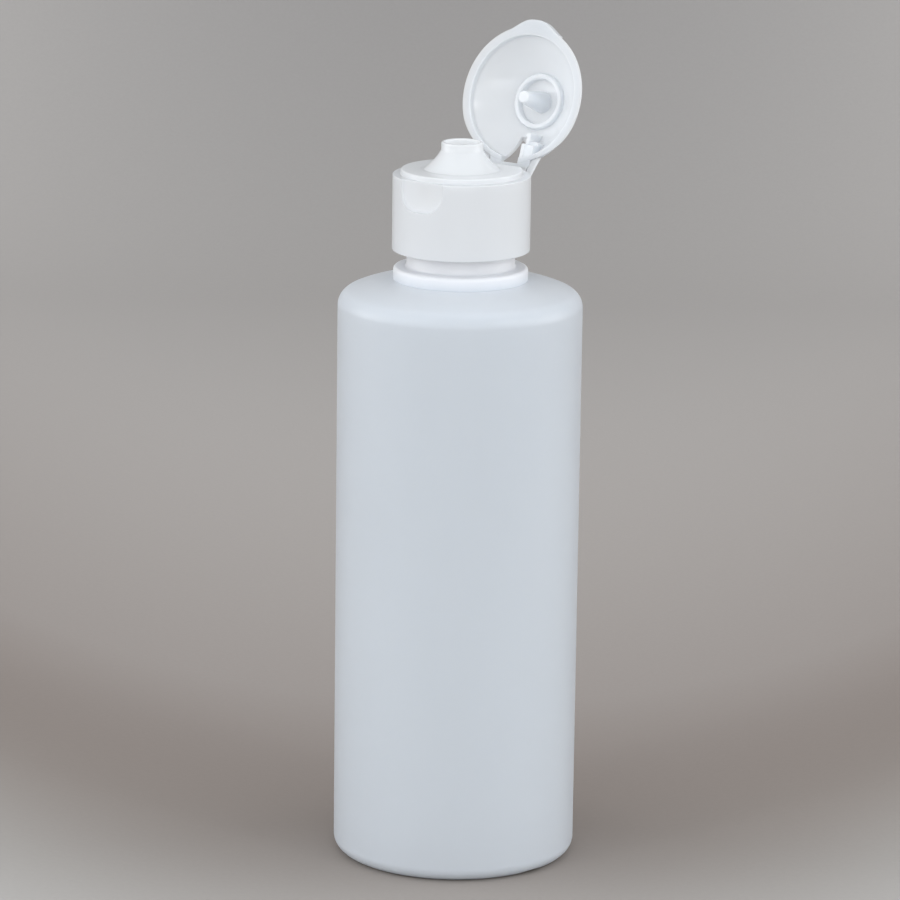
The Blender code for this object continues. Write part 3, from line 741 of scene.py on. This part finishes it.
def recess_tool():
    """The thumb recess as a rounded plug, U-shaped, open at the top and shallower towards its foot."""
    top = RECESS_HEIGHT + PAST
    side = RECESS_HALF - RECESS_CORNER
    right = arc(side, RECESS_CORNER, RECESS_CORNER, 0, -QUARTER, steps=14)
    outline = [(-RECESS_HALF, top), (RECESS_HALF, top)] + right + [(-x, y) for x, y in reversed(right)]
    tool = plate("recess", outline, 0, SKIRT_RADIUS - PLATEAU_RADIUS + PAST)
    for vertex in tool.data.vertices:
        if vertex.co.z == 0:
            share = 1 - min(1, vertex.co.y / RECESS_HEIGHT)
            vertex.co.z = RECESS_WALL + RECESS_SCOOP * share * share
    tool.matrix_world = (
        Matrix.Translation((-RECESS_SHIFT, -PLATEAU_RADIUS, LEDGE - RECESS_HEIGHT))
        @ Matrix.Rotation(QUARTER, 4, "X")
    )
    return rounded(tool, RECESS_EDGE, segments=7)


def deck_seat():
    """What the deck loses at its back, where the lid's block comes down."""
    low = (-PLATEAU_RADIUS, BLOCK_FRONT - DECK_GAP, LEDGE)
    high = (PLATEAU_RADIUS, SKIRT_RADIUS, PLATEAU + PAST)
    return block("block_seat", low, high)


def lug_tool():
    """The lug on the skirt, with its top just under the hinge web."""
    top = HINGE_Z - WEB_THICKNESS / 2 - TOOTH_CLEARANCE
    low = (-HINGE_HALF, SKIRT_RADIUS - LUG_ROOT, top - LUG_DEPTH)
    high = (HINGE_HALF, HINGE_BEHIND - LUG_SHORT, top)
    return rounded(block("lug", low, high), LUG_EDGE)


def make_cap():
    """The cap base with its recess, the deck cut back for the lid, hinge lug and inner thread."""
    cap = turned("cap_shell", cap_section(), closed=True)
    combined(cap, recess_tool(), "DIFFERENCE")
    combined(cap, deck_seat(), "DIFFERENCE")
    combined(cap, lug_tool(), "UNION")
    smooth(cap)
    dressed(cap, CAP_PLASTIC, "cap", "cap_base")
    ridge = helix(
        "cap_thread", SKIRT_BORE, outward=False, start=NECK_TOP - THREAD_START - PITCH / 2,
        base=2.0 * MM, crest=0.9 * MM, depth=0.85 * MM,
    )
    dressed(ridge, CAP_PLASTIC, "cap")


# Lid

def ceiling(first, last, steps):
    """Points of the domed ceiling, which springs from the top of the lip."""
    inside = dome(LIP_RADIUS, CEILING_HEIGHT - LIP_DEPTH, first, last, steps)
    return [(radius, height + LIP_DEPTH) for radius, height in inside]


def lid_section():
    """Section of the lid, closed and measured from its rim plane."""
    base = RIM_RADIUS - DOME_INSET
    points = dome(base, LID_HEIGHT, 0, DRAWN_FROM, steps=40)
    points += dome(base, LID_HEIGHT, DRAWN_FROM, base - DOME_STOP, steps=12)[1:]
    points += [(RIM_RADIUS - RIM_EDGE / 2, RIM_SHOULDER), (RIM_RADIUS, RIM_HEIGHT)]
    points += arc(RIM_RADIUS - RIM_EDGE, RIM_EDGE, RIM_EDGE, 0, -QUARTER, steps=4)
    points += arc(LIP_RADIUS + RIM_EDGE, RIM_EDGE, RIM_EDGE, -QUARTER, -2 * QUARTER, steps=4)
    points += ceiling(LIP_RADIUS - LIP_GAP, RING_OUTER + RING_DRAFT_OUTSIDE, steps=30)
    points += arc(RING_OUTER - TIP_EDGE, RING_TIP + TIP_EDGE, TIP_EDGE, 0, -QUARTER, steps=5)
    points += arc(RING_INNER + TIP_EDGE, RING_TIP + TIP_EDGE, TIP_EDGE, -QUARTER, -2 * QUARTER, steps=5)
    points += ceiling(RING_INNER - RING_DRAFT_INSIDE, PIN_ROOT + PIN_DRAFT, steps=8)
    points += arc(PIN_TIP - TIP_EDGE, PIN_REACH + TIP_EDGE, TIP_EDGE, 0, -QUARTER, steps=5)
    points += [(DIMPLE_RADIUS, PIN_REACH + DIMPLE_EDGE), (0, PIN_REACH + DIMPLE_DEPTH)]
    return points


def eased(share):
    """A share that is kept between 0 and 1, and starts and ends gently."""
    share = min(1, max(0, share))
    return share * share * (3 - 2 * share)


def draw_in(lid):
    """Draws the round rim in towards the hinge, as far as the skirt's wall."""
    for vertex in lid.data.vertices:
        x, y, z = vertex.co
        radius = math.hypot(x, y)
        if radius < DRAWN_FROM:
            continue
        share = (abs(math.atan2(x, y)) - RIM_BACK_ANGLE) / (RIM_ROUND_ANGLE - RIM_BACK_ANGLE)
        wall = RIM_BACK + (RIM_RADIUS - RIM_BACK) * eased(share)
        if radius > RIM_RADIUS - RIM_EDGE_ZONE and z < RIM_TOP:
            new = radius - RIM_RADIUS + wall
        else:
            new = min(radius, wall)
        vertex.co = (x * new / radius, y * new / radius, z)


def dome_filling(name, outline, low, high):
    """What fills the dome between two planes across the lid, under an outline seen from its side."""
    inner = RIB_FRONT - RIB_OVERLAP
    top = [(r, z + SHELL_BITE) for r, z in ceiling(LIP_RADIUS, inner, steps=24)]
    section = [(inner, 0), *reversed(top), (RIM_ROOT, LIP_DEPTH), (RIM_ROOT, 0)]
    ring = turned(name, section, closed=True)
    return combined(ring, upright_plate("span", outline, low, high), "INTERSECT")


def stepped(heel, toe, knee, landing, top):
    """Side view of a stepped wall: its heel at the rim, a toe, the step's two corners and its top."""
    return [(RIM_RADIUS, heel), toe, knee, landing, (landing[0] - STEP_DRAFT, top), (RIM_RADIUS, top)]


def hinge_rib():
    """The stepped wall along the right side of the window."""
    outline = stepped(
        heel=0.15 * MM,
        toe=(BLOCK_FRONT, 0.3 * MM),
        knee=(BLOCK_FRONT - 0.2 * MM, RIB_STEP),
        landing=(RIB_FRONT, RIB_STEP + 0.15 * MM),
        top=LID_HEIGHT,
    )
    return dome_filling("rib", outline, WINDOW_HALF - RIB_OVERLAP, WINDOW_HALF + RIB_THICKNESS)


def hinge_block():
    """The lower block beside the rib, which stiffens the hinge's root and shares no face with the rib."""
    outline = stepped(
        heel=0.25 * MM,
        toe=(BLOCK_FRONT + 0.05 * MM, 0.45 * MM),
        knee=(BLOCK_FRONT - 0.12 * MM, RIB_STEP + 0.2 * MM),
        landing=(BLOCK_END, RIB_STEP + 0.3 * MM),
        top=LID_HEIGHT - 0.1 * MM,
    )
    return dome_filling("block", outline, WINDOW_HALF + RIB_OVERLAP, HINGE_HALF)


def tab_tool():
    """The thumb tab: a bell-shaped swell of the rim."""
    half_angle = math.asin(TAB_HALF_WIDTH / RIM_RADIUS)
    shares = np.linspace(-1, 1, TAB_POINTS)
    outline = []
    for share in shares:
        fall = max(0, abs(share) - TAB_FLAT) / (1 - TAB_FLAT)
        radius = RIM_RADIUS + TAB_REACH * (1 + math.cos(math.pi * fall)) / 2
        outline.append((radius * math.sin(half_angle * share), -radius * math.cos(half_angle * share)))
    for share in reversed(shares):
        outline.append((RIM_ROOT * math.sin(half_angle * share), -RIM_ROOT * math.cos(half_angle * share)))
    return rounded(plate("tab", outline, TAB_LIFT, TAB_THICKNESS), TAB_EDGE, segments=5, angle=50)


def tooth_tool():
    """The lid's side of the hinge, which hangs down behind the skirt."""
    low = WEB_THICKNESS / 2 + TOOTH_CLEARANCE - HINGE_DROP
    top = low + LUG_DEPTH + LUG_ROOT / 2
    root = SKIRT_RADIUS - LUG_ROOT
    clear = SKIRT_RADIUS + TOOTH_GAP
    back = HINGE_BEHIND - LUG_SHORT
    outline = [(clear, low), (back, low), (back, top), (root, top)]
    outline += [(root, TOOTH_LIFT), (clear, TOOTH_LIFT)]
    return rounded(upright_plate("tooth", outline, -HINGE_HALF, HINGE_HALF), TOOTH_EDGE)


def window_tool():
    """The window between the hinge's two sides, cut deep into the dome."""
    low = (-WINDOW_HALF, WINDOW_FRONT, -PAST)
    high = (WINDOW_HALF, RIM_BACK, WINDOW_DEPTH)
    return block("window", low, high)


def make_lid():
    """The lid with its tab, hinge rib, block, tooth and window, then swung to its open place."""
    lid = turned("lid_shell", lid_section())
    draw_in(lid)
    for tool in (tab_tool(), hinge_rib(), hinge_block(), tooth_tool()):
        combined(lid, tool, "UNION")
    combined(lid, window_tool(), "DIFFERENCE")
    lid.data.transform(LID_PLACE)
    smooth(lid)
    dressed(lid, LID_PLASTIC, "lid", "lid")


# Hinge webs and snap straps

def make_web(side, word):
    """One half of the thin web on the hinge axis, laid halfway between the lug and the tooth."""
    left, right = sorted((0, side * HINGE_HALF))
    low = (left, -WEB_HALF_WIDTH, -WEB_HALF_THICKNESS)
    high = (right, WEB_HALF_WIDTH, WEB_HALF_THICKNESS)
    web = block(f"web_{word}", low, high, cuts=5)
    turn = Matrix.Translation(HINGE) @ Matrix.Rotation(-OPEN_ANGLE / 2 - QUARTER, 4, "X")
    web.data.transform(turn)
    smooth(web)
    dressed(web, LID_PLASTIC, None, f"hinge_web_{word}")
    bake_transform(web)


def strap_ends(side):
    """Where a snap strap starts on the skirt and ends on the lid, and the way its width runs at both."""
    around = side * math.asin((STRAP_START + STRAP_WIDTH / 2) / SKIRT_RADIUS)
    out = Vector((math.sin(around), math.cos(around), 0))
    across = Vector((math.cos(around), -math.sin(around), 0))
    foot = out * (SKIRT_RADIUS + STRAP_OFFSET) + Vector((0, 0, LEDGE - STRAP_FOOT))
    head = LID_PLACE @ (out * (RIM_BACK + STRAP_OFFSET - STRAP_SINK) + Vector((0, 0, STRAP_RISE)))
    return foot, head, across, LID_PLACE.to_3x3() @ across


def squared(value):
    """Moves a sine or cosine outwards, so that a circle becomes a square with round corners."""
    return math.copysign(abs(value) ** 0.5, value)


def strap(name, foot, head, foot_across, head_across):
    """A snap strap, twisted to follow the skirt at its foot and the lid's back at its head."""
    along = (head - foot).normalized()
    shape = bmesh.new()
    rows = []
    for share in np.linspace(0, 1, STRAP_ROWS):
        middle = foot.lerp(head, share)
        across = foot_across.lerp(head_across, share).normalized()
        thick = along.cross(across).normalized()
        end = abs(2 * share - 1)
        half_wide = STRAP_WIDTH / 2 * (1 + STRAP_WIDE_FLARE * end ** 3)
        half_thick = STRAP_THICKNESS / 2 * STRAP_WAIST * (1 + STRAP_THICK_FLARE * end ** 4)
        row = []
        for turn in np.linspace(0, 2 * math.pi, STRAP_CORNERS + 1)[:-1]:
            wide = across * half_wide * squared(math.cos(turn))
            deep = thick * half_thick * squared(math.sin(turn))
            row.append(shape.verts.new(middle + wide + deep))
        rows.append(row)
    join_rows(shape, rows, rings=True)
    return smooth(as_object(shape, name), angle=60)


def make_strap(side, word):
    """The snap strap on one side, shaped for the lid's open place; the real strap bends as the lid moves.
    """
    foot, head, foot_across, head_across = strap_ends(side)
    band = strap(f"strap_{word}", foot, head, foot_across, head_across)
    dressed(band, LID_PLASTIC, None, f"snap_strap_{word}")
    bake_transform(band)


make_bottle()
make_cap()
make_lid()
for side, word in SIDES:
    make_web(side, word)
    make_strap(side, word)
dressed(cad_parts["liner"], LINER_FOAM)


# Floor and backdrop

STAGE_FRONT = -1.6
STAGE_TOP = 2.2
STAGE_HALF_WIDTH = 2.4
FLOOR_LENGTH = 0.55
FLOOR_BEND = 0.35
PAPER_ROUGHNESS = 0.9
PAPER_GRAIN = 900
PAPER_GRAIN_DETAIL = 2.0
PAPER_GRAIN_TONES = [(0.0, (0.94, 0.94, 0.94)), (1.0, (1, 1, 1))]
# Shape of the band of painted shade on the floor: its curve round the object, where it fades out to the
# sides, and the distance used beyond them.
SHADE_BAND_CURVE = 6.6
SHADE_BAND_INSIDE = 0.12
SHADE_BAND_OUTSIDE = 0.4
SHADE_BAND_FAR = 0.35
# Tone by distance behind the object: painted lighter in front, a dark band of painted shade just behind
# it, and painted shade darkening far up the backdrop.
SWEEP_PAINTED_SHADE_TONES = [
    (-0.09, (0.52, 0.51, 0.49)),
    (0.0, (0.22, 0.18, 0.155)),
    (0.1, (0.34, 0.305, 0.285)),
    (0.42, (0.50, 0.48, 0.46)),
    (0.95, (0.19, 0.185, 0.185)),
]


def seen_from_camera(right, back, height):
    """A point given across, away from and above the object as the camera sees it."""
    c, s = math.cos(OBJECT_TURN), math.sin(OBJECT_TURN)
    return (right * c - back * s, right * s + back * c, height)


def painted_shade_distance(tree, place):
    """The distance behind the object, in a wide curve round it, and a fixed one far to its sides, which
    places the band of painted shade.
    """
    turned_place = add_node(tree, "Mapping", {"Vector": place, "Rotation": (0, 0, -OBJECT_TURN)})
    axes = add_node(tree, "SeparateXYZ", {"Vector": turned_place.outputs["Vector"]}).outputs
    across = arithmetic(tree, "MULTIPLY", axes["X"], axes["X"])
    back = arithmetic(tree, "MULTIPLY_ADD", across, -SHADE_BAND_CURVE, axes["Y"])
    outside = spread(
        tree, across, SHADE_BAND_INSIDE ** 2, SHADE_BAND_OUTSIDE ** 2, interpolation_type="SMOOTHSTEP"
    )
    return add_node(tree, "Mix", {"Factor": outside, "A": back, "B": SHADE_BAND_FAR}).outputs["Result"]


def sweep_paper():
    """Matte paper with painted light and shade by the distance behind the object: lighter in front, a dark
    band of painted shade just behind it, and painted shade far up the backdrop.
    """
    material, tree, place = new_material("sweep_paper", Roughness=PAPER_ROUGHNESS)
    tones = toned(tree, painted_shade_distance(tree, place), SWEEP_PAINTED_SHADE_TONES, "B_SPLINE")
    tint = ramp(tree, noise(tree, place, PAPER_GRAIN, PAPER_GRAIN_DETAIL), PAPER_GRAIN_TONES)
    feed(tree, tree.nodes["Principled BSDF"], {"Base Color": multiplied(tree, tones, tint)})
    return material


def make_stage():
    """One sheet that is the floor and, in a wide bend, the backdrop."""
    away = Vector(seen_from_camera(0, 1, 0))
    half_width = Vector(seen_from_camera(1, 0, 0)) * STAGE_HALF_WIDTH
    path = [(STAGE_FRONT, 0.0)]
    path += arc(FLOOR_LENGTH, FLOOR_BEND, FLOOR_BEND, -QUARTER, 0, steps=23)
    path += [(FLOOR_LENGTH + FLOOR_BEND, STAGE_TOP)]
    shape = bmesh.new()
    rows = []
    for distance, height in path:
        middle = away * distance + Vector((0, 0, height))
        rows.append([shape.verts.new(middle + half_width), shape.verts.new(middle - half_width)])
    join_rows(shape, rows, rings=False)
    sheet = as_object(shape, "sweep")
    sheet.data.shade_smooth()
    sheet.data.materials.append(sweep_paper())


# Light and camera

# Each soft box: its place as the camera sees it, the height of its target, its size and its power
SOFT_BOXES = [
    ("front_left", (-0.93, -0.84, 0.8), 0.12, (0.13, 0.13), 1.0),
    ("side_left", (-1.0, 0.05, 0.3), 0.1, (0.7, 0.5), 1.7),
    ("front_right", (0.93, -0.84, 0.8), 0.12, (0.13, 0.13), 1.0),
    ("side_right", (1.0, 0.05, 0.3), 0.1, (0.7, 0.5), 1.7),
    ("low_front", (0, -1.3, 0.12), 0.1, (1.0, 0.3), 1.5),
    ("above", (0, 0.1, 1.1), 0.05, (1.0, 1.0), 0.3),
]
WORLD_COLOUR = (0.95, 0.97, 1.0)
WORLD_HORIZON = 1.45
WORLD_ZENITH = 0.9


def soft_box(name, place, target_height, size, power):
    """A rectangular light aimed at a point above the object's centre."""
    light = bpy.data.lights.new(name, "AREA")
    light.shape = "RECTANGLE"
    light.size, light.size_y = size
    light.energy = power
    item = bpy.data.objects.new(name, light)
    item.location = seen_from_camera(*place)
    aim = Vector((0, 0, target_height)) - Vector(seen_from_camera(*place))
    item.rotation_euler = aim.to_track_quat("-Z", "Y").to_euler()
    bpy.context.scene.collection.objects.link(item)


def make_world():
    """An even surround, brighter at the horizon than overhead."""
    world = bpy.data.worlds.new("studio")
    world.use_nodes = True
    tree = world.node_tree
    place = add_node(tree, "TexCoord", {}).outputs["Generated"]
    upward = add_node(tree, "SeparateXYZ", {"Vector": place}).outputs["Z"]
    between = {"Value": upward, "To Min": WORLD_HORIZON, "To Max": WORLD_ZENITH}
    strength = add_node(tree, "MapRange", between)
    background = {"Color": (*WORLD_COLOUR, 1), "Strength": strength.outputs["Result"]}
    feed(tree, tree.nodes["Background"], background)
    bpy.context.scene.world = world


def make_camera():
    """The camera as fitted to the photograph, turned with the object."""
    yaw, pitch, roll = CAMERA_YAW, CAMERA_PITCH, CAMERA_ROLL
    ahead = Vector((math.sin(yaw) * math.cos(pitch), math.cos(yaw) * math.cos(pitch), -math.sin(pitch)))
    right = Vector((math.cos(yaw), -math.sin(yaw), 0))
    up = right.cross(ahead)
    right, up = right * math.cos(roll) + up * math.sin(roll), up * math.cos(roll) - right * math.sin(roll)
    pose = Matrix((right, up, -ahead)).transposed().to_4x4()
    pose.translation = Vector((0, -CAMERA_DISTANCE, CAMERA_HEIGHT))
    lens = bpy.data.cameras.new("camera")
    lens.sensor_width = SENSOR_MM
    lens.lens = FOCAL_PIXELS / PHOTO_PIXELS * SENSOR_MM
    lens.clip_start = CAMERA_NEAR
    camera = bpy.data.objects.new("camera", lens)
    bpy.context.scene.collection.objects.link(camera)
    camera.matrix_world = Matrix.Rotation(OBJECT_TURN, 4, "Z") @ pose
    bpy.context.scene.camera = camera


make_stage()
for entry in SOFT_BOXES:
    soft_box(*entry)
make_world()
make_camera()
bpy.context.scene.view_settings.view_transform = "Standard"
